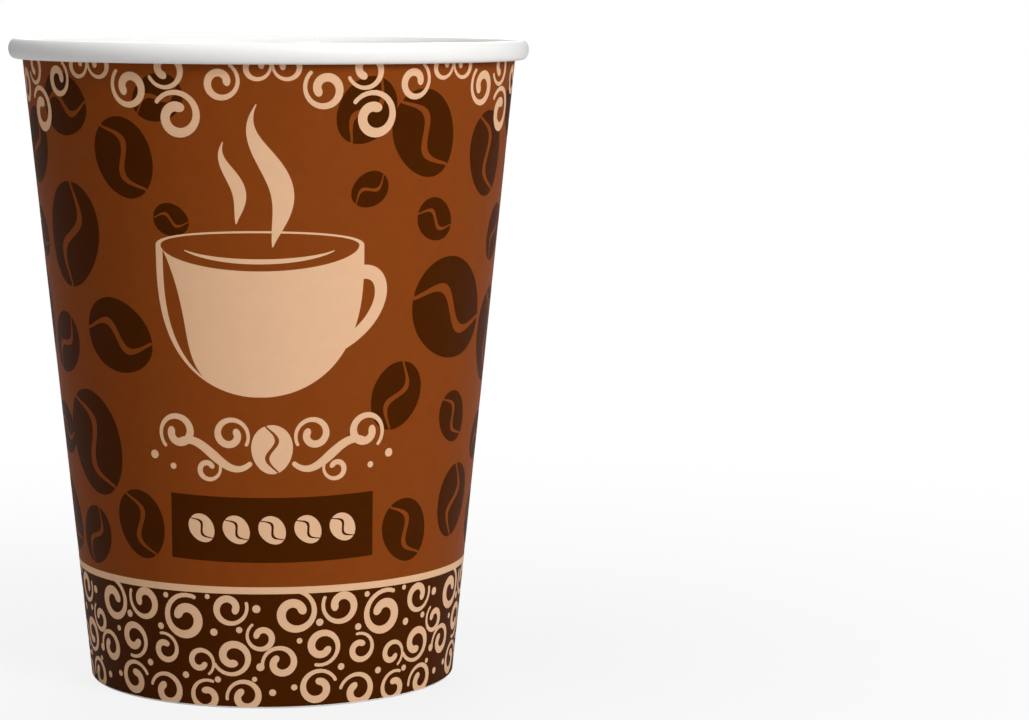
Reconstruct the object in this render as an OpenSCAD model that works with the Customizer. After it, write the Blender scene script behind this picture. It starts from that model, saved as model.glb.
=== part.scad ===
// Single-wall paper cup for a hot drink.
// Two pieces of coated board: a side wall, wrapped to a cone and lapped at a
// side seam, with its top edge curled outwards into the rim and its foot folded
// up inside as a hem; and a bottom disc, whose skirt that hem clasps.
// The base stands on z = 0, the axis is Z, and the side seam is at the back, +Y.

/* [Cup] */
// Height from the table to the top of the rim
cup_h = 112; // [70:0.5:150]
// Outside diameter of the rolled rim
rim_d = 90.4; // [80:0.2:110]
// Outside diameter of the side wall at the table
base_d = 64; // [50:0.2:74]
// Thickness of the board
board_t = 0.35; // [0.25:0.01:0.45]

/* [Rolled rim] */
// Width of the roll across the board
roll_w = 2.6; // [2.2:0.1:4]
// Height of the roll along the board
roll_h = 3.6; // [2.6:0.1:5]
// How far the board turns from the inside of the cup to its tucked end, in degrees
curl_turn = 395; // [330:5:420]
// Gap between the tucked end of the curl and the board that it passes
tuck_gap = 0.1; // [0.05:0.01:0.2]

/* [Bottom] */
// Height of the drinking floor above the table
floor_h = 8; // [7:0.5:14]
// Height of the hem folded up inside the foot
hem_h = 6; // [3:0.5:6]
// Outside radius of the corner between the floor and its skirt
floor_corner_r = 0.9; // [0.6:0.1:1.2]
// Gap between the edge of the skirt and the fold under it
skirt_gap = 0.15; // [0.05:0.05:0.5]

/* [Side seam] */
// Width of the lap
seam_w = 8; // [5:0.5:12]
// Height of the step at each edge of the lap, pressed to less than the board
seam_step = 0.28; // [0.15:0.01:0.3]

/* [Hidden] */
$fn = 96;
base_r = base_d / 2;
roll_z = cup_h - roll_h / 2;              // height of the middle of the roll, near enough upright
wall_in_r = rim_d / 2 - roll_w;           // inside of the board beside the middle of the roll
lean = wall_lean(4);                      // angle of the wall from the upright
curl_steps = 44;                          // points along the curl
tuck_from = 225;                          // turn at which the curl starts to tighten
tuck_to = 325;                            // turn at which it has tightened by a board and the gap
corner_steps = 4;                         // points round the corners of the fold and the floor
skin = 0.9;                               // depth of a lap's layer, as a share of the board
lap_top = roll_z - roll_h / 3;            // top of the lap's outer layer, below the tucked end
flush_h = roll_h / 6;                     // height over which the lap's inner layer fades out
seam_at = 90;                             // direction of the raw edge of the lap
seam_turn = seam_w / ((base_r + wall_in_r) / 2) * 180 / PI;   // the lap as an angle
seam_shift = seam_step / sin(seam_turn);  // how far a lap's layer is off the axis

// The lean depends on the board's slant thickness, which depends on the lean, so it is refined.
function wall_lean(n) = n == 0
    ? 0
    : let (last = wall_lean(n - 1))
      atan((wall_in_r + board_t / cos(last) - base_r) / roll_z);

// A point at height z and at a depth below the outside face of the wall.
function on_wall(z, depth) = [base_r + z * tan(lean) - depth / cos(lean), z];

// Points of an arc about a centre, from one direction to another.
function arc(centre, r, from, to, steps = corner_steps) = [
    for (i = [0:steps])
        let (a = from + (to - from) * i / steps)
        centre + r * [cos(a), sin(a)]
];

// The curl is an oval that leans with the wall and touches the inside of the
// board, so its middle lies outside the wall. It tightens where it meets the wall again.
roll_mid = on_wall(roll_z, board_t - roll_w / 2);
function tightened(turn) = (board_t + tuck_gap)
    * min(1, max(0, (turn - tuck_from) / (tuck_to - tuck_from)));
function on_curl(turn, depth) =
    let (
        inset = depth + tightened(turn),
        along = (roll_h / 2 - inset) * sin(turn),
        across = -(roll_w / 2 - inset) * cos(turn)
    )
    roll_mid + [
        across * cos(lean) + along * sin(lean),
        along * cos(lean) - across * sin(lean)
    ];
function curl(depth, from, to, steps) = [
    for (i = [0:steps]) on_curl(from + (to - from) * i / steps, depth)
];

// Section of the side wall: one board of one thickness, from the raw edge of the
// hem, round the fold, up the wall and round the curl.
module side_wall_section() {
    polygon(concat(
        arc(on_wall(board_t, 2 * board_t), board_t, 180 - lean, 270),
        arc(on_wall(board_t, board_t), board_t, -90, -lean),
        curl(board_t, 0, curl_turn, curl_steps),
        curl(0, curl_turn, 0, curl_steps),
        [
            on_wall(board_t, board_t),
            on_wall(board_t, 2 * board_t),
            on_wall(hem_h, 2 * board_t),
            on_wall(hem_h, 3 * board_t)
        ]
    ));
}

// Outer layer of the lap: a skin of the wall's outside face, from the foot up
// behind the roll.
module outer_lap_section() {
    polygon(concat(
        arc(on_wall(board_t, board_t), board_t, -90, -lean),
        [
            on_wall(lap_top, 0),
            on_wall(lap_top, skin * board_t),
            on_wall(board_t, skin * board_t),
            [on_wall(board_t, board_t)[0], 0]
        ]
    ));
}

// Inner layer of the lap: a skin of the wall's inside face, from just above the
// floor to the roll, where it is pressed flush.
module inner_lap_section() {
    polygon([
        on_wall(floor_h + board_t, board_t),
        on_wall(roll_z, board_t),
        on_wall(roll_z + flush_h, (1 - skin) * board_t),
        on_wall(floor_h + board_t, (1 - skin) * board_t)
    ]);
}

// A layer of the lap, swept about an axis that is a little off the cup's own, so
// that it leaves the wall gently at one edge and stands a step proud at the other.
module lap_layer(facing, from) {
    rotate([0, 0, facing])
        translate([0, seam_shift, 0])
            rotate([0, 0, from])
                rotate_extrude(angle = seam_turn) children();
}

module side_wall() {
    color("#85421a")
    union() {
        rotate_extrude() side_wall_section();
        lap_layer(seam_at - seam_turn, 0) outer_lap_section();
        lap_layer(seam_at, -seam_turn) inner_lap_section();
    }
}

// The bottom disc: a flat floor with a skirt that lies against the wall.
module bottom_disc() {
    skirt_low = board_t + skirt_gap;
    outer_mid = on_wall(floor_h - floor_corner_r, board_t + floor_corner_r);
    color("#f4f1ec")
    rotate_extrude()
        polygon(concat(
            [[0, floor_h - board_t]],
            arc(outer_mid, floor_corner_r - board_t, 90, -lean),
            [on_wall(skirt_low, 2 * board_t), on_wall(skirt_low, board_t)],
            arc(outer_mid, floor_corner_r, -lean, 90),
            [[0, floor_h]]
        ));
}

side_wall();
bottom_disc();
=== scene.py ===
import bmesh
import bpy
import numpy as np
from mathutils import Matrix, Vector


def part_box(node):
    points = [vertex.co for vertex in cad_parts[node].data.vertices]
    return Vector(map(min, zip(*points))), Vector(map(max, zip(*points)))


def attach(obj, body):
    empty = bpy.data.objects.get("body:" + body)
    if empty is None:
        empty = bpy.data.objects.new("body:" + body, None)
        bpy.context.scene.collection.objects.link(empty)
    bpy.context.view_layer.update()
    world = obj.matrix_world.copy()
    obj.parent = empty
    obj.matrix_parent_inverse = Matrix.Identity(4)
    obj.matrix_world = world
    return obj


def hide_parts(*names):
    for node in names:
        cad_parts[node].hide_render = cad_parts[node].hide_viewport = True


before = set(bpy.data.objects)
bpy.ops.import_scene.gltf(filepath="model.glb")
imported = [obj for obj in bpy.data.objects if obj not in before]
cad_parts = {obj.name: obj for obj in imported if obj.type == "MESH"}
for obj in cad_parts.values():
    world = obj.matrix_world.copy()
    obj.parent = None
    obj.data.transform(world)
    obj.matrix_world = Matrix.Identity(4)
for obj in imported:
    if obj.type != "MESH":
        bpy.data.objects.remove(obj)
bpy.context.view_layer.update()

# The side wall: a blank of white paperboard, coated on its drink side, wrapped to a cone and
# heat-sealed along a lap at the back. Its top edge is curled outwards into the rim, and its
# foot is folded up inside as a hem, which a ribbed roller presses onto the bottom disc.
mm = 0.001
board = 0.35 * mm
foot_radius = 32.0 * mm
roll_width = 2.6 * mm
roll_height = 3.6 * mm
curl_turn = np.radians(395)
tuck_from = np.radians(225)
tuck_to = np.radians(325)
tuck_gap = 0.1 * mm
hem_height = 6 * mm
floor_height = 8 * mm
rib_count = 120
rib_depth = 0.08 * mm
lap_width = 8 * mm
lap_step = 0.28 * mm
lap_edge_width = 0.12 * mm
lap_edge_support = 0.15 * mm
roll_sink = 0.13 * mm
wall_columns = 480

# The lean of the wall and the middle of the roll follow from the CAD rim's reach and height,
# and each depends on the other, so they are refined.
rim_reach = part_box("side_wall")[1]
lean = 0.0
for refinement in range(8):
    roll_radius = rim_reach.x - np.hypot(roll_width * np.cos(lean), roll_height * np.sin(lean)) / 2
    roll_level = rim_reach.z - np.hypot(roll_height * np.cos(lean), roll_width * np.sin(lean)) / 2
    wall_reach = roll_radius - foot_radius - (roll_width / 2 - board) / np.cos(lean)
    lean = np.arctan(wall_reach / roll_level)
lap_top = roll_level - roll_height / 3

seam = np.pi / 2
front = -np.pi / 2
lap_turn = 2 * lap_width / (foot_radius + roll_radius)
inner_edge = seam + 2 * np.pi - lap_turn


def smooth(share):
    """0 below 0, 1 above 1, and 3s^2 - 2s^3 between."""
    s = np.clip(share, 0, 1)
    return s * s * (3 - 2 * s)


def on_board(height, depth):
    """A point of the section: a height above the table, and a depth square to the printed face."""
    height = np.asarray(height, float)
    return np.stack([foot_radius + height * np.tan(lean) - depth / np.cos(lean), height], axis=-1)


def on_roll(turn, depth):
    """A point of the curled board: an oval that leans with the wall, and that shrinks by a board
    and a gap where it comes round to the wall again, at a depth below its outer face."""
    inset = depth + (board + tuck_gap) * np.clip((turn - tuck_from) / (tuck_to - tuck_from), 0, 1)
    along = (roll_height / 2 - inset) * np.sin(turn)
    across = -(roll_width / 2 - inset) * np.cos(turn)
    return np.stack([roll_radius + across * np.cos(lean) + along * np.sin(lean),
                     roll_level + along * np.cos(lean) - across * np.sin(lean)], axis=-1)


def round_bend(centre, start, end):
    """Points of a bend of one board's radius about a centre, between two directions."""
    angle = np.linspace(start, end, 7)
    return centre + board * np.stack([np.cos(angle), np.sin(angle)], axis=-1)


def lap_outside(angle):
    """Rise of the printed face over the lap: none at its start, a step at the raw edge."""
    share = np.mod(angle - seam + lap_turn, 2 * np.pi) / lap_turn
    return lap_step * np.where(share < 1, smooth(share), 0)


def lap_inside(angle):
    """Rise of the coated face over the lap: a step at the inner raw edge, none at the other."""
    share = np.mod(angle - seam + lap_turn, 2 * np.pi) / lap_turn
    return lap_step * np.where(share < 1, 1 - smooth(share), 0)


def lap_on_roll(angle):
    """Fall of the rolled face beside the lap: a step down at the inner raw edge, easing to none."""
    share = np.mod(inner_edge - angle, 2 * np.pi) / lap_turn
    return -roll_sink * np.where(share < 1, 1 - smooth(share), 0)


def add_mesh(name, points, faces, corner_uv, material, corner_normals=None):
    """A mesh from an array of points, a list of faces and one UV pair a corner."""
    mesh = bpy.data.meshes.new(name)
    mesh.from_pydata(points.reshape(-1, 3).tolist(), [], faces)
    mesh.polygons.foreach_set("use_smooth", np.ones(len(faces), bool))
    uv = mesh.uv_layers.new(name="OFBake")
    uv.data.foreach_set("uv", corner_uv.astype(np.float32).ravel())
    if corner_normals is not None:
        mesh.normals_split_custom_set(corner_normals.reshape(-1, 3).tolist())
    else:
        mesh.set_sharp_from_angle(angle=np.radians(35))
    mesh.materials.append(material)
    piece = bpy.data.objects.new(name, mesh)
    bpy.context.scene.collection.objects.link(piece)
    return piece


def revolved(section, angles):
    """A closed section of radii and heights, one column of it for each angle, carried round the
    axis: x = r cos a, y = r sin a, z = h. Its faces join both ways."""
    radius, height = section[..., 0], section[..., 1]
    points = np.stack([radius * np.cos(angles), radius * np.sin(angles), height], axis=-1)
    rows, columns = radius.shape
    i, j = np.meshgrid(np.arange(rows), np.arange(columns), indexing="ij")
    below, beside = (i + 1) % rows, (j + 1) % columns
    faces = np.stack([i * columns + j, i * columns + beside,
                      below * columns + beside, below * columns + j], axis=-1)
    u = np.stack([j, j + 1, j + 1, j], axis=-1) / columns
    v = np.stack([i, i, i + 1, i + 1], axis=-1) / rows
    return points, faces.reshape(-1, 4).tolist(), np.stack([u, v], axis=-1)


def outward(section):
    """Unit normals of a section that runs anticlockwise: its tangent, turned clockwise."""
    tangent = np.roll(section, -1, axis=0) - np.roll(section, 1, axis=0)
    tangent /= np.hypot(tangent[:, 0], tangent[:, 1])[:, None]
    return np.stack([tangent[:, 1], -tangent[:, 0]], axis=-1)


def paper(name, colour, shade, rough=0.44, fibre=0.35, gloss=0.02, coat_rough=None):
    """Paperboard or ink on it: the cloudy formation of the fibres shades the colour, and fine
    fibres roughen and lift the surface. A coated side is smoother, by the coated attribute."""
    material = bpy.data.materials.new(name)
    material.use_nodes = True
    nodes, links = material.node_tree.nodes, material.node_tree.links
    shader = nodes["Principled BSDF"]
    place = nodes.new("ShaderNodeTexCoord").outputs["Object"]

    cloud = nodes.new("ShaderNodeTexNoise")
    cloud.inputs["Scale"].default_value = 420
    cloud.inputs["Detail"].default_value = 5
    cloud.inputs["Roughness"].default_value = 0.6
    links.new(place, cloud.inputs["Vector"])
    tint = nodes.new("ShaderNodeMix")
    tint.data_type = "RGBA"
    tint.inputs[6].default_value = (*colour, 1)
    tint.inputs[7].default_value = (*shade, 1)
    links.new(cloud.outputs["Fac"], tint.inputs[0])
    links.new(tint.outputs[2], shader.inputs["Base Color"])

    stretch = nodes.new("ShaderNodeMapping")
    stretch.inputs["Scale"].default_value = (1, 1, 0.35)
    links.new(place, stretch.inputs["Vector"])
    fibres = nodes.new("ShaderNodeTexNoise")
    fibres.inputs["Scale"].default_value = 3200
    fibres.inputs["Detail"].default_value = 3
    links.new(stretch.outputs["Vector"], fibres.inputs["Vector"])
    sheen = nodes.new("ShaderNodeMapRange")
    sheen.inputs["From Min"].default_value = 0.3
    sheen.inputs["From Max"].default_value = 0.7
    sheen.inputs["To Min"].default_value = rough - 0.06
    sheen.inputs["To Max"].default_value = rough + 0.06
    links.new(fibres.outputs["Fac"], sheen.inputs["Value"])
    roughness = sheen.outputs["Result"]
    if coat_rough is not None:
        side = nodes.new("ShaderNodeAttribute")
        side.attribute_name = "coated"
        coat = nodes.new("ShaderNodeMix")
        links.new(side.outputs["Fac"], coat.inputs[0])
        links.new(roughness, coat.inputs[2])
        coat.inputs[3].default_value = coat_rough
        roughness = coat.outputs[0]
    links.new(roughness, shader.inputs["Roughness"])

    relief = nodes.new("ShaderNodeBump")
    relief.inputs["Strength"].default_value = fibre
    relief.inputs["Distance"].default_value = 0.02 * mm
    links.new(fibres.outputs["Fac"], relief.inputs["Height"])
    links.new(relief.outputs["Normal"], shader.inputs["Normal"])
    shader.inputs["Specular IOR Level"].default_value = gloss
    return material


def ink(red, green, blue):
    """A colour of 0 to 255 on screen, as linear light."""
    share = np.array([red, green, blue]) / 255
    return tuple(np.where(share <= 0.04045, share / 12.92, ((share + 0.055) / 1.055) ** 2.4))


hem_heights = np.linspace(hem_height, board, 15)
wall_heights = np.linspace(board, lap_top, 14)
inner_heights = np.linspace(roll_level, floor_height, 14)[1:]
under_turns = np.linspace(0, curl_turn, 44)
over_turns = np.linspace(curl_turn, 0, 72)
flush_turn = np.radians(20)
rib_low = 0.8 * mm
rib_high = 5 * mm
rib_share = smooth((hem_heights - rib_low) / mm) * smooth((rib_high - hem_heights) / mm)
coated_parts = (5, 6, 7, 8)
parts_of_section = [
    # points, rise of the printed face, of the coated face and over the roll, ribs
    (on_board(hem_heights, 3 * board), 0, 0, 0, rib_share),
    (round_bend(on_board(board, 2 * board), np.pi - lean, 1.5 * np.pi), 0, 0, 0, 0),
    (round_bend(on_board(board, board), -np.pi / 2, -lean), np.linspace(0, 1, 7), 0, 0, 0),
    (on_board(wall_heights[1:], 0), smooth((lap_top - wall_heights[1:]) / mm), 0, 0, 0),
    (on_roll(under_turns, board), 0, 0, 0, 0),
    (on_roll(over_turns, 0), 0, 1 - smooth(over_turns / flush_turn),
     smooth(over_turns / flush_turn) * smooth((tuck_from - over_turns) / flush_turn), 0),
    (on_board(inner_heights, board), 0, smooth((inner_heights - floor_height) / mm), 0, 0),
    (on_board([2 * board, board], board), 0, 0, 0, 0),
    (on_board([board, 2 * board, hem_height], 2 * board), 0, 0, 0, 0),
]
section = np.concatenate([part[0] for part in parts_of_section])
printed_rise, coated_rise, rolled_rise, ribs = (
    np.concatenate([np.broadcast_to(part[k], len(part[0])) for part in parts_of_section])[:, None]
    for k in (1, 2, 3, 4))
coated_side = np.concatenate([np.full(len(part[0]), 1.0 if k in coated_parts else 0.0)
                              for k, part in enumerate(parts_of_section)])

angles = seam + np.linspace(0, 2 * np.pi, wall_columns + 1)[1:-1]
beside_edge = np.array([lap_edge_width, lap_edge_width + 2 * lap_edge_support]) / 2 / foot_radius
half_edge = beside_edge[0]
angles = np.concatenate([seam + beside_edge, angles, seam + 2 * np.pi - beside_edge,
                         inner_edge - beside_edge, inner_edge + beside_edge])
angles = np.sort(angles)

square_rise = (coated_rise * lap_inside(angles) + rolled_rise * lap_on_roll(angles)
               + ribs * rib_depth * np.cos(rib_count * angles))
wall_section = section[:, None, :] + outward(section)[:, None, :] * square_rise[..., None]
wall_section[..., 0] += printed_rise * lap_outside(angles) / np.cos(lean)
white_board = paper("white_board", ink(250, 249, 247), ink(245, 244, 241),
                    rough=0.52, fibre=0.5, gloss=0.3, coat_rough=0.36)
side_wall = add_mesh("cup_side_wall", *revolved(wall_section, angles), white_board)
coated = side_wall.data.attributes.new("coated", "FLOAT", "POINT")
coated.data.foreach_set("value", np.repeat(coated_side, len(angles)).astype(np.float32))
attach(side_wall, "root")
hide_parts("side_wall")

# The bottom disc: a round of the same board, its coated face up, drawn down at its edge to a
# skirt, which is clasped and heat-sealed between the wall and the hem. Drawing leaves the
# floor a little dished, with a ring pressed round it.
floor_corner = 0.9 * mm
skirt_gap = 0.15 * mm
dish_depth = 0.25 * mm
ring_radius = 27.5 * mm
ring_depth = 0.22 * mm
ring_width = 0.9 * mm
disc_columns = 240

corner_middle = on_board(floor_height - floor_corner, board + floor_corner)
floor_edge = corner_middle[0]


def floor_form(radius):
    """Height of the floor's face: a shallow bowl, less a rounded ring pressed into it."""
    bowl = dish_depth * (1 - smooth(radius / (floor_edge - 2 * mm)))
    ring = ring_depth * np.exp(-((radius - ring_radius) / ring_width) ** 2)
    return floor_height - bowl - ring


corner_angles = np.linspace(-lean, np.pi / 2, 9)
corner_ways = np.stack([np.cos(corner_angles), np.sin(corner_angles)], axis=-1)
ring_outer, ring_inner = ring_radius + 3 * mm, ring_radius - 3 * mm
floor_radii = np.concatenate([np.linspace(floor_edge, ring_outer, 5)[1:-1],
                              np.linspace(ring_outer, ring_inner, 21),
                              np.linspace(ring_inner, 0, 14)[1:]])
upper_face = np.stack([floor_radii, floor_form(floor_radii)], axis=-1)
lower_face = (upper_face - [0, board])[::-1]
disc_section = np.concatenate([
    on_board([board + skirt_gap], board),
    corner_middle + floor_corner * corner_ways,
    upper_face,
    lower_face,
    corner_middle + (floor_corner - board) * corner_ways[::-1],
    on_board([board + skirt_gap], 2 * board),
])
disc_angles = np.linspace(0, 2 * np.pi, disc_columns, endpoint=False)
disc_columns_of_section = np.repeat(disc_section[:, None, :], disc_columns, axis=1)
bottom_disc = add_mesh("cup_bottom_disc", *revolved(disc_columns_of_section, disc_angles), white_board)
disc_coated = np.arange(len(disc_section)) < 1 + len(corner_ways) + len(upper_face)
coated = bottom_disc.data.attributes.new("coated", "FLOAT", "POINT")
coated.data.foreach_set("value", np.repeat(disc_coated, disc_columns).astype(np.float32))
poles = bmesh.new()
poles.from_mesh(bottom_disc.data)
bmesh.ops.remove_doubles(poles, verts=poles.verts, dist=0.0001 * mm)
poles.to_mesh(bottom_disc.data)
poles.free()
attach(bottom_disc, "root")
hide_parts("bottom_disc")

# The brown ground of the print: a coat of satin ink laid on the flat blank before it is
# wrapped, from just under the rim down to the fold at the foot. It ends at the lap's raw edge.
print_low = 0.32 * mm
print_high = roll_level - 1.25 * mm
ink_sink = 0.006 * mm
ground_lift = 0.012 * mm
film_step = 0.0005 * mm
film_steps = 12
same_place = 0.00001 * mm
least_area = 0.000001 * mm ** 2
slope_reach = 0.0001
steepest_lap = 0.2
apex = foot_radius / np.tan(lean)
blank_reach = np.pi - half_edge
brown_ink = paper("brown_ink", ink(139, 68, 22), ink(130, 61, 16))


def slant_of(height):
    """Distance from the cone's apex along the wall, for a height above the table."""
    return (height + apex) / np.cos(lean)


def belt(low, high, rows=3):
    """A patch of print round the whole wall, between two heights, in angle and slant."""
    slant = slant_of(np.linspace(low, high, rows))
    return np.stack(np.broadcast_arrays(angles[None, :] - 2 * np.pi, slant[:, None]), axis=-1)


def ink_film(name, patches, lift, material):
    """A closed film of ink for each patch of angle and slant, cut off at the blank's two edges and
    at the print's ends: the patch at a lift above the wall's printed face, again sunk a little
    into it, and a rim between them. Points that fall together are one point, and faces with no
    area are left out. Films that may overlap differ in lift by a small step."""
    points, faces, corner_uv, normals = [], [], [], []
    count = 0
    for order, patch in enumerate(patches):
        rows, columns = patch.shape[:2]
        angle = np.clip(patch[..., 0], front - blank_reach, front + blank_reach).ravel()
        slant = np.clip(patch[..., 1], slant_of(print_low), slant_of(print_high)).ravel()
        flat = np.stack([angle * slant * np.sin(lean), slant], axis=-1)
        first, same = np.unique(np.round(flat / same_place), axis=0,
                                return_index=True, return_inverse=True)[1:]
        index = first[same.ravel()].reshape(rows, columns)
        quads = np.stack([index[:-1, :-1], index[:-1, 1:], index[1:, 1:], index[1:, :-1]], axis=-1)
        quads = quads.reshape(-1, 4)
        first_diagonal = flat[quads[:, 2]] - flat[quads[:, 0]]
        other_diagonal = flat[quads[:, 3]] - flat[quads[:, 1]]
        area = (first_diagonal[:, 0] * other_diagonal[:, 1]
                - first_diagonal[:, 1] * other_diagonal[:, 0])
        if area.sum() < 0:
            quads, area = quads[:, ::-1], -area
        quads = quads[area > least_area]
        repeated = quads == np.roll(quads, 1, axis=1)
        pointed = repeated.any(axis=1)
        used, fours = np.unique(quads, return_inverse=True)
        fours = fours.reshape(-1, 4)
        threes = fours[pointed][~repeated[pointed]].reshape(-1, 3)
        fours = fours[~pointed]

        angle, slant, size = angle[used], slant[used], len(used)
        across = np.stack([np.cos(angle), np.sin(angle), 0 * angle], axis=-1)
        square = across * np.cos(lean) - np.array([0, 0, np.sin(lean)])
        foot = across * (slant * np.sin(lean))[:, None]
        foot[:, 2] = slant * np.cos(lean) - apex
        film_lift = lift + film_step * min(order, 1 + order % film_steps)
        top = foot + square * (lap_outside(angle) + film_lift)[:, None]
        bottom = foot + square * (lap_outside(angle) - ink_sink)[:, None]
        both = np.concatenate([top, bottom])
        slope = lap_outside(angle + slope_reach) - lap_outside(angle - slope_reach)
        slope /= 2 * slope_reach * slant * np.sin(lean)
        slope = np.where(np.abs(slope) < steepest_lap, slope, 0)
        way = square - np.stack([-np.sin(angle), np.cos(angle), 0 * angle], axis=-1) * slope[:, None]
        way /= np.linalg.norm(way, axis=1)[:, None]
        uv = np.stack([np.mod(angle - seam, 2 * np.pi) / (2 * np.pi),
                       (slant - slant_of(0)) / (slant_of(rim_reach.z) - slant_of(0))], axis=-1)
        uv = np.concatenate([uv, uv])

        edges = np.concatenate([np.stack([group, np.roll(group, -1, axis=1)], axis=-1).reshape(-1, 2)
                                for group in (fours, threes)])
        rim = edges[~np.isin(edges @ [size, 1], edges @ [1, size])]
        sides = np.stack([rim[:, 1], rim[:, 0], rim[:, 0] + size, rim[:, 1] + size], axis=-1)
        side_way = np.cross(both[rim[:, 0]] - both[rim[:, 1]], both[rim[:, 0] + size] - both[rim[:, 0]])
        side_way /= np.linalg.norm(side_way, axis=1)[:, None]
        for group, directions in ((fours, way[fours]), (threes, way[threes]),
                                  (fours[:, ::-1] + size, -way[fours[:, ::-1]]),
                                  (threes[:, ::-1] + size, -way[threes[:, ::-1]]),
                                  (sides, np.repeat(side_way[:, None], 4, axis=1))):
            faces += (group + count).tolist()
            corner_uv.append(uv[group].reshape(-1, 2))
            normals.append(directions.reshape(-1, 3))
        points.append(both)
        count += 2 * size
    film = add_mesh(name, np.concatenate(points), faces, np.concatenate(corner_uv),
                    material, np.concatenate(normals))
    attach(film, "root")
    return film


ink_film("print_ground", [belt(print_low, print_high, 24)], ground_lift, brown_ink)

# The dark brown ink over it: coffee beans scattered round the wall, a plain plate at the front
# and a deep band round the foot. Each bean is two lobes, with the ground showing in its crease.
dark_lift = 0.026 * mm
band_top = 20.6 * mm
dark_ink = paper("dark_brown_ink", ink(75, 33, 0), ink(65, 27, 0))
plate_width = 35
plate_height = 11.2
plate_level = 31.0


def printed_at(patch, angle, height):
    """A patch drawn flat in millimetres, wrapped without stretching about a place on the wall:
    its point (x, y) is hypot(x, s + y) from the apex, at atan2(x, s + y) in the flat blank."""
    start = slant_of(height)
    x, y = patch[..., 0] * mm, patch[..., 1] * mm + start
    return np.stack([angle + np.arctan2(x, y) / np.sin(lean), np.hypot(x, y)], axis=-1)


bean_plumpness = 0.82


def bean(length, tilt):
    """Two lobes of an oval, x = sqrt(1 - v^2), from its outline to a crease that swings across it
    as a sine and opens as a cosine."""
    v = np.sin(np.linspace(-np.pi / 2, np.pi / 2, 29))
    oval = np.sqrt(1 - v ** 2) * (1 + 0.07 * v)
    middle = 0.30 * np.sin(1.25 * np.pi * v) - 0.16 * v
    opening = 0.115 * (0.4 + 0.6 * np.cos(np.pi * v / 2))
    share = np.linspace(0, 1, max(3, int(length / 1.7)))[:, None]
    turn = np.radians(tilt)
    lobes = []
    for hand in (-1, 1):
        crease = np.clip(middle + hand * opening, -oval, oval)
        x = (hand * oval * (1 - share) + crease * share) * bean_plumpness * length / 2
        y = v * length / 2 + 0 * share
        lobes.append(np.stack([x * np.cos(turn) - y * np.sin(turn),
                               x * np.sin(turn) + y * np.cos(turn)], axis=-1))
    return lobes


right_beans = [
    # degrees from the group's middle, height, length and tilt
    (-38, 101, 12, -40), (-22, 97, 15.5, 30), (-36.5, 88, 7, -60), (-17, 82.5, 8.5, 60), (3, 93, 15, 15),
    (22, 101, 13, 50), (-8, 67, 20.5, 62), (15, 79, 10.5, -35), (31, 86, 14, -20), (-26, 53, 12, -25),
    (-3, 48, 9.5, 30), (19, 61, 17, 10), (36, 68, 12, 70), (-20, 29.5, 11.5, 25), (2, 33, 13, -15),
    (19, 43, 9.5, -50), (35, 50, 13, 35), (25, 28, 12, 75), (40, 33, 9, 10),
]
left_beans = [
    (24, 93, 14, 25), (5, 101.5, 13, 80), (-14, 94, 14, -35), (3, 79.5, 18.5, -22), (-19, 79, 10, 55),
    (18, 63, 15, 68), (-7, 60.5, 12, -50), (-28, 66, 17.5, 20), (4, 44, 18.5, 20), (-16, 45, 11, 75),
    (-34, 47.5, 12.5, -15), (21, 31, 12, 15), (0, 27.5, 11, -35), (-20, 29.5, 13.5, 40),
    (-38, 31, 9.5, -60), (-35, 88, 12, 10), (34, 103, 9.5, -70), (-31, 103.5, 11, -20), (36, 83, 6.5, 70),
]
right_back_beans = [
    (-33, 101, 13, 20), (-6, 98, 16, -50), (14, 103, 9, 30), (33, 95, 14, -20), (-33, 86, 8, 70),
    (-16, 82, 15.5, -15), (8, 80, 9, 40), (27, 77, 16, -65), (-27, 69, 12, 35), (-9, 63, 11, -30),
    (12, 59, 16.5, 60), (34, 58, 10, 10), (-24, 48, 15.5, -40), (-4, 45, 9, 80), (19, 40, 13.5, -10),
    (37, 43, 10, 50), (-25, 30, 11.5, 20), (-5, 29, 12, -60), (12, 27, 9, 75), (29, 28.5, 11.5, -25),
]
left_back_beans = [
    (-26, 98, 14, -35), (-8, 102, 10, 15), (12, 96, 14.5, 60), (31, 101, 9, -15), (-19, 82, 10, 40),
    (0, 79, 17, -70), (22, 81, 9, 25), (-34, 67, 17, 10), (-13, 62, 10, -45), (8, 58, 13.5, 30),
    (26, 64, 12.5, -20), (-27, 46, 11.5, 75), (-7, 44, 15, -15), (14, 40, 9.5, 55), (30, 46, 10.5, 5),
    (-35, 29, 13, -30), (-16, 28.5, 10, 50), (2, 28, 11.5, 20), (20, 27.5, 10, -50),
]
# each group's middle is so many degrees to the right of the front
bean_groups = ((right_beans, 60), (left_beans, -60), (right_back_beans, 142), (left_back_beans, -142))
dark_patches = []
for beans, middle_turn in bean_groups:
    for turn, height, length, tilt in beans:
        place = front + np.radians(middle_turn + turn)
        dark_patches += [printed_at(lobe, place, height * mm) for lobe in bean(length, tilt)]
plate = np.stack(np.meshgrid(np.linspace(-0.5, 0.5, 45) * plate_width,
                             np.linspace(-0.5, 0.5, 5) * plate_height), axis=-1)
dark_patches.append(printed_at(plate, front, plate_level * mm))
ink_film("print_dark", [belt(print_low, band_top)] + dark_patches, dark_lift, dark_ink)

# The cream ink on top: scrolls that hang from the rim, a line and close scrolls on the band, and
# at the front a steaming cup, a scroll flourish and a row of small beans on the plate.
cream_lift = 0.040 * mm
line_width = 1.2 * mm
cream_ink = paper("cream_ink", ink(236, 191, 153), ink(228, 182, 143))


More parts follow.
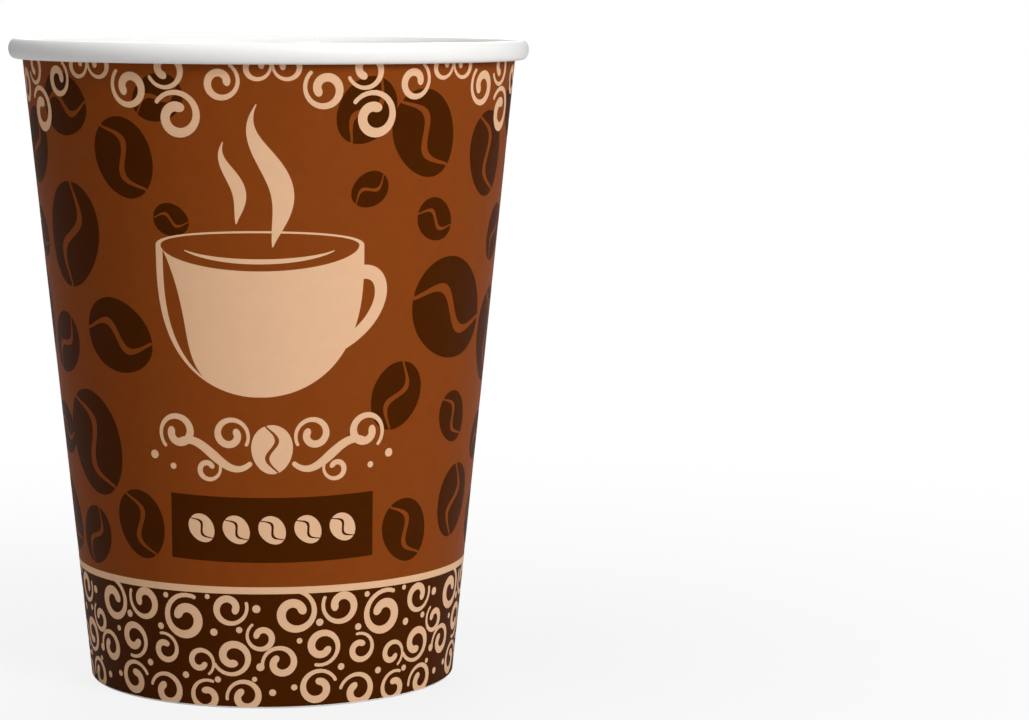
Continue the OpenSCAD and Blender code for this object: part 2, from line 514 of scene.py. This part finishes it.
def ribbon(path, half):
    """A stroke: each point of the path moved sideways by -1 to 1 times the half-width, which
    falls away over the last half-width at both ends as a circle does."""
    length = np.concatenate([[0], np.cumsum(np.hypot(*np.diff(path, axis=0).T))])
    total, first, last = length[-1], half[0], half[-1]
    cap = 1 - np.cos(np.linspace(0.2, np.pi / 2, 5))
    inner = length[(length > first * 1.1) & (length < total - last * 1.1)]
    along = np.concatenate([first * cap, inner, total - last * cap[::-1]])
    width = np.interp(along, length, half)
    width = width * np.sqrt(1 - np.clip(1 - along / first, 0, 1) ** 2)
    width = width * np.sqrt(1 - np.clip(1 - (total - along) / last, 0, 1) ** 2)
    points = np.stack([np.interp(along, length, path[:, k]) for k in (0, 1)], axis=-1)
    heading = np.gradient(path, length, axis=0)
    heading = np.stack([np.interp(along, length, heading[:, k]) for k in (0, 1)], axis=-1)
    heading = heading / np.hypot(*heading.T)[:, None]
    sideways = np.stack([-heading[:, 1], heading[:, 0]], axis=-1)
    return points + np.linspace(-1, 1, 3)[:, None, None] * width[:, None] * sideways


scroll_stroke = 0.175


def scroll(x, y, size, start, turns, hand):
    """A curl: a circle whose radius falls by half as it turns, thinner at its outer end."""
    t = np.linspace(0, 1, int(30 * turns))
    angle = np.radians(start) + hand * 2 * np.pi * turns * t
    half = scroll_stroke * size / 2 * (0.45 + 0.55 * smooth(t / 0.6))
    radius = size / 2 * (1 - 0.53 * t) - half
    path = np.stack([x + radius * np.cos(angle), y + radius * np.sin(angle)], axis=-1)
    return ribbon(path, half)


def spot(x, y, size):
    """A round dot: rings about its middle."""
    angle = np.linspace(0, 2 * np.pi, 15)
    radius = np.array([0, 0.5, 1])[:, None] * size / 2
    return np.stack([x + radius * np.cos(angle), y + radius * np.sin(angle)], axis=-1)


def bow(p, q, r, s, start, middle, end, count=40):
    """A cubic curve between p and s, pulled towards q and r, with three half-widths along it."""
    t = np.linspace(0, 1, count)[:, None]
    path = (1 - t) ** 3 * np.array(p) + 3 * t * (1 - t) ** 2 * np.array(q) \
        + 3 * t ** 2 * (1 - t) * np.array(r) + t ** 3 * np.array(s)
    return ribbon(path, np.interp(t[:, 0], [0, 0.5, 1], [start, middle, end]))


band_scrolls = [
    # across and up from the middle of a repeat, size, start in degrees, turns and hand
    (-14.0, 16.4, 8.6, 100, 1.3, -1), (-5.8, 17.6, 7.6, 150, 1.2, 1), (2.4, 15.4, 9.2, 60, 1.35, 1),
    (10.2, 17.4, 7.0, 20, 1.2, -1), (15.6, 12.2, 6.0, 120, 1.2, 1), (-9.0, 10.6, 7.4, 250, 1.3, 1),
    (-2.0, 9.6, 6.2, 110, 1.2, -1), (4.6, 8.0, 5.8, 300, 1.15, 1), (10.4, 9.0, 7.6, 200, 1.3, 1),
    (-15.8, 7.6, 7.0, 200, 1.25, -1), (-9.4, 3.2, 7.4, 20, 1.25, 1), (-2.0, 2.2, 7.4, 170, 1.2, -1),
    (5.4, 1.8, 6.6, 60, 1.2, 1), (12.2, 1.8, 7.0, 190, 1.25, -1),
]
band_spots = [
    (-9.6, 14.8, 1.3), (-2.6, 13.6, 1.2), (7.4, 13.2, 1.3), (11.8, 13.6, 1.1), (-5.4, 6.8, 1.2),
    (13.9, 4.9, 0.9), (-13.4, 3.4, 1.1), (1.8, 5.4, 1.2), (7.6, 4.9, 1.1), (-12.9, 11.6, 1.0),
    (14.9, 17.2, 1.4), (-1.2, 19.2, 1.0), (6.6, 19.4, 0.9), (16.8, 2.4, 1.2), (15.0, 7.0, 1.4),
]
band_repeats = 6
rim_scrolls = [
    # across from the middle of a repeat, down from the rim, size, start, turns and hand
    (1.0, 9.0, 9.4, 150, 1.3, -1), (-0.6, 1.2, 7.4, 200, 1.2, 1), (-7.6, 4.4, 8.0, 130, 1.3, 1),
    (8.4, 3.4, 7.2, 60, 1.25, -1), (-13.8, 0.8, 5.8, 170, 1.15, 1), (14.4, 1.0, 5.6, 30, 1.15, -1),
]
rim_repeats = 8
cream_line = belt(band_top - line_width / 2, band_top + line_width / 2)
cream_patches = []
for repeat in range(band_repeats):
    place = front + (repeat + 0.5 - band_repeats / 2) * 2 * np.pi / band_repeats
    for x, y, size, start, turns, hand in band_scrolls:
        cream_patches.append(printed_at(scroll(x, y, size, start, turns, hand), place, 0))
    cream_patches += [printed_at(spot(*values), place, 0) for values in band_spots]
for repeat in range(rim_repeats):
    place = front + (repeat + 0.5 - rim_repeats / 2) * 2 * np.pi / rim_repeats
    for x, drop, size, start, turns, hand in rim_scrolls:
        cream_patches.append(printed_at(scroll(x, -drop, size, start, turns, hand), place, print_high))

cup_width = 35.4
cup_depth = 25
mouth_height = 7.6
lip_share = 0.05
cup_middle = -2.0
cup_level = 78.5
v = np.sin(np.linspace(0, 0.965 * np.pi / 2, 40))
u = np.sin(np.linspace(-np.pi / 2, np.pi / 2, 61))
half_width = cup_width / 2 * np.sqrt(1 - v ** 2.9)


def cup_side(low, high):
    """Part of the drawn cup between two shares of its width, which may change with depth: its
    half-width falls as the root of 1 - v^2.9, and its top edge is the front of the mouth, an
    ellipse that leaves a lip at both ends."""
    share = low[:, None] + (high - low)[:, None] * (u + 1) / 2
    x = half_width[:, None] * share
    brim = -mouth_height / 2 * np.sqrt(np.clip(1 - (share / (1 - lip_share)) ** 2, 0, 1))
    y = brim * (1 - v[:, None]) - cup_depth * v[:, None]
    return np.stack([x, y], axis=-1)


shine_side = -0.93
shine_width = 0.17
shine_end = 0.86
shine_low = shine_side + 0 * v
shine_high = shine_side + shine_width * np.sin(np.pi * np.clip(v / shine_end, 0, 1)) ** 0.7
drawn_cup = [cup_side(-1 + 0 * v, shine_low), cup_side(shine_high, 1 + 0 * v)]
around = np.linspace(0, np.pi, 60)
lip = np.linspace(1 - lip_share, 1, 3)[:, None]
back_of_mouth = 2.9
drawn_cup.append(np.stack([cup_width / 2 * lip * np.cos(around),
                           back_of_mouth * lip ** 2.4 * np.sin(around)], axis=-1))
drink_turn = np.radians(np.linspace(205, 335, 50))
drink_line = np.stack([13.8 * np.cos(drink_turn), 0.5 + 2.7 * np.sin(drink_turn)], axis=-1)
drawn_cup.append(ribbon(drink_line, 0.08 + 0.34 * np.sin(np.linspace(0, np.pi, 50))))
drawn_cup.append(bow((15.0, -5.2), (22.2, -1.8), (24.4, -12.4), (11.4, -17.6), 1.2, 1.15, 0.9))
steam_wisps = (
    # foot, height, swing to the side and half-width where it is full
    (2.8, 0.2, 23.5, 2.9, 1.85), (-3.4, 4.0, 13.5, 1.5, 1.05),
)
rise = np.linspace(0, 1, 50)
for foot_x, foot_y, height, swing, full in steam_wisps:
    sway = swing * np.sin(2 * np.pi * (rise - 0.08)) * (0.4 + 0.6 * rise)
    wisp = np.stack([foot_x - 1.6 * rise + sway, foot_y + height * rise], axis=-1)
    drawn_cup.append(ribbon(wisp, 0.1 + full * np.sin(np.pi * rise ** 0.85) ** 1.3))
cup_place = front + cup_middle / (foot_radius / mm + cup_level * np.tan(lean))
cream_patches += [printed_at(patch, cup_place, cup_level * mm) for patch in drawn_cup]

flourish_level = 44.8
flourish = []
for side in (-1, 1):
    half_flourish = [
        bow((3.4, -2.2), (8.0, -7.0), (11.4, 4.4), (16.4, 0.2), 0.4, 0.8, 0.6),
        scroll(7.0, 2.4, 7.0, 215, 1.25, -1),
        scroll(16.0, 2.3, 7.6, -50, 1.25, 1),
        scroll(10.8, -3.6, 5.2, 120, 1.15, 1),
        spot(20.6, -2.0, 1.5), spot(17.0, -3.6, 1.1),
    ]
    flourish += [patch * [side, 1] for patch in half_flourish]
flourish += bean(8.4, 0)
cream_patches += [printed_at(patch, front, flourish_level * mm) for patch in flourish]
plate_bean_spacing = 6
for x in plate_bean_spacing * np.arange(-2, 3):
    cream_patches += [printed_at(lobe + [x, 0], front, plate_level * mm) for lobe in bean(5.2, 35)]
ink_film("print_cream", [cream_line] + cream_patches, cream_lift, cream_ink)

# The stand for the picture: a wide pale floor, which stays in the render as white with the
# cup's soft shadow, and a white surround.
floor_reach = 6.0
floor_mesh = bpy.data.meshes.new("floor")
floor_level = -0.02 * mm
floor_corners = [(x * floor_reach, y * floor_reach, floor_level)
                 for x, y in ((-1, -1), (1, -1), (1, 1), (-1, 1))]
floor_mesh.from_pydata(floor_corners, [], [(0, 1, 2, 3)])
floor = bpy.data.objects.new("floor", floor_mesh)
bpy.context.scene.collection.objects.link(floor)
floor_finish = bpy.data.materials.new("floor_finish")
floor_finish.use_nodes = True
nodes, links = floor_finish.node_tree.nodes, floor_finish.node_tree.links
matte = nodes["Principled BSDF"]
matte.inputs["Base Color"].default_value = (0.62, 0.62, 0.62, 1)
matte.inputs["Roughness"].default_value = 0.9
matte.inputs["Specular IOR Level"].default_value = 0.0
white = nodes.new("ShaderNodeEmission")
white.inputs["Strength"].default_value = 1.0
centre = nodes.new("ShaderNodeVectorMath")
centre.operation = "LENGTH"
links.new(nodes.new("ShaderNodeTexCoord").outputs["Object"], centre.inputs[0])
fade = nodes.new("ShaderNodeMapRange")
fade.interpolation_type = "SMOOTHSTEP"
fade.inputs["From Min"].default_value = 0.02
fade.inputs["From Max"].default_value = 0.30
fade.inputs["To Min"].default_value = 0.82
fade.inputs["To Max"].default_value = 1.0
links.new(centre.outputs["Value"], fade.inputs["Value"])
seen = nodes.new("ShaderNodeMath")
seen.operation = "MULTIPLY"
links.new(nodes.new("ShaderNodeLightPath").outputs["Is Camera Ray"], seen.inputs[0])
links.new(fade.outputs["Result"], seen.inputs[1])
blend = nodes.new("ShaderNodeMixShader")
links.new(seen.outputs[0], blend.inputs[0])
links.new(matte.outputs[0], blend.inputs[1])
links.new(white.outputs[0], blend.inputs[2])
links.new(blend.outputs[0], nodes["Material Output"].inputs["Surface"])
floor_mesh.materials.append(floor_finish)

world = bpy.data.worlds.new("surround")
bpy.context.scene.world = world
world.use_nodes = True
nodes, links = world.node_tree.nodes, world.node_tree.links
ambient = nodes["Background"]
ambient.inputs["Color"].default_value = (1, 1, 1, 1)
ambient.inputs["Strength"].default_value = 0.15
backdrop = nodes.new("ShaderNodeBackground")
backdrop.inputs["Color"].default_value = (1, 1, 1, 1)
surround = nodes.new("ShaderNodeMixShader")
links.new(nodes.new("ShaderNodeLightPath").outputs["Is Camera Ray"], surround.inputs[0])
links.new(ambient.outputs[0], surround.inputs[1])
links.new(backdrop.outputs[0], surround.inputs[2])
links.new(surround.outputs[0], nodes["World Output"].inputs["Surface"])


def soft_lamp(name, turn, rise_angle, distance, size, power):
    """A square lamp that faces the cup's middle, at a turn to the right of the front."""
    turn, rise_angle = np.radians(turn), np.radians(rise_angle)
    way = Vector((np.sin(turn) * np.cos(rise_angle), -np.cos(turn) * np.cos(rise_angle),
                  np.sin(rise_angle)))
    lamp = bpy.data.objects.new(name, bpy.data.lights.new(name, "AREA"))
    lamp.data.size = size
    lamp.data.energy = power
    lamp.location = Vector((0, 0, rim_reach.z / 2)) + way * distance
    lamp.rotation_mode = "QUATERNION"
    lamp.rotation_quaternion = way.to_track_quat("Z", "Y")
    bpy.context.scene.collection.objects.link(lamp)


soft_lamp("key", 38, 28, 1.2, 0.55, 10.1)
soft_lamp("top", -60, 72, 1.2, 0.8, 5.5)
soft_lamp("back", 176, 35, 1.2, 0.55, 6.0)

# The camera stands where the photograph was taken from: straight in front, a little above the
# rim, tipped down to the cup, and turned and slightly rolled so that the cup stands in the left
# of the picture as it does there.
photo_width = 1029
lens_pixels = 3156
camera_distance = 0.5557
camera_height = 0.1210
tip = np.radians(6.745)
aside = np.radians(4.400)
roll = np.radians(-0.271)
level = Vector((0, np.cos(tip), -np.sin(tip)))
upright = Vector((0, np.sin(tip), np.cos(tip)))
ahead = level * np.cos(aside) + Vector((1, 0, 0)) * np.sin(aside)
rightward = Vector((1, 0, 0)) * np.cos(aside) - level * np.sin(aside)
camera_right = rightward * np.cos(roll) + upright * np.sin(roll)
camera_up = upright * np.cos(roll) - rightward * np.sin(roll)
camera = bpy.data.objects.new("camera", bpy.data.cameras.new("camera"))
camera.data.sensor_width = 36
camera.data.clip_start = 0.01
camera.data.lens = 36 * lens_pixels / photo_width
camera.matrix_world = Matrix.Translation((0, -camera_distance, camera_height)) @ Matrix(
    (camera_right, camera_up, -ahead)).transposed().to_4x4()
bpy.context.scene.collection.objects.link(camera)
bpy.context.scene.camera = camera
bpy.context.scene.view_settings.view_transform = "Standard"
